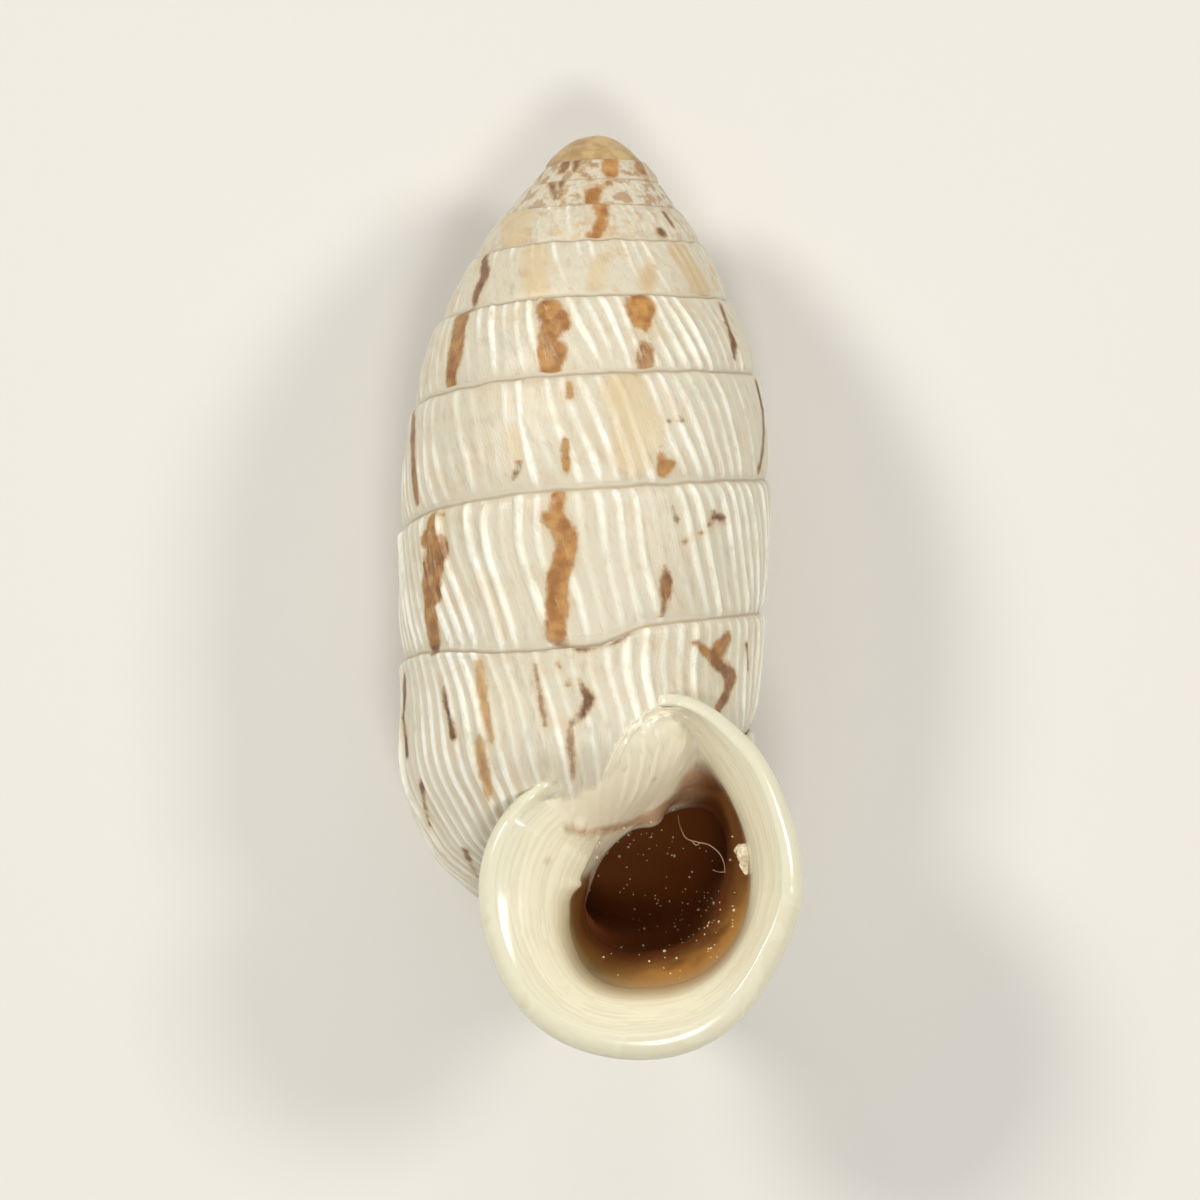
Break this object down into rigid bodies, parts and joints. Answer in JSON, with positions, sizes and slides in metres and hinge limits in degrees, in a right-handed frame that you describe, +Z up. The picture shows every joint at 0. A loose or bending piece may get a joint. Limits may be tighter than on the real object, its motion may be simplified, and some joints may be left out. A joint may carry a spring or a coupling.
{
  "type": "cerion land snail shell",
  "caption": "Pupa-shaped ribbed land snail shell with brown flame marks, lying on its back with its thick flared mouth lip facing up.",
  "frame": {"origin": "centre of the small flat spot on the shell's back that it rests on, under the axis", "axes": "+Z up, the way the mouth faces; +Y along the shell's axis towards the apex; +X towards the outer lip, on the right as seen from the front of the mouth with the apex away from the viewer"},
  "size_m": [0.0122, 0.027, 0.0107],
  "materials": {
    "shell": "cream-white aragonite, softly glossy on the lip, with brown flames and a dark brown throat"
  },
  "bodies": {
    "root": {"shell": "shell"}
  },
  "joints": []
}
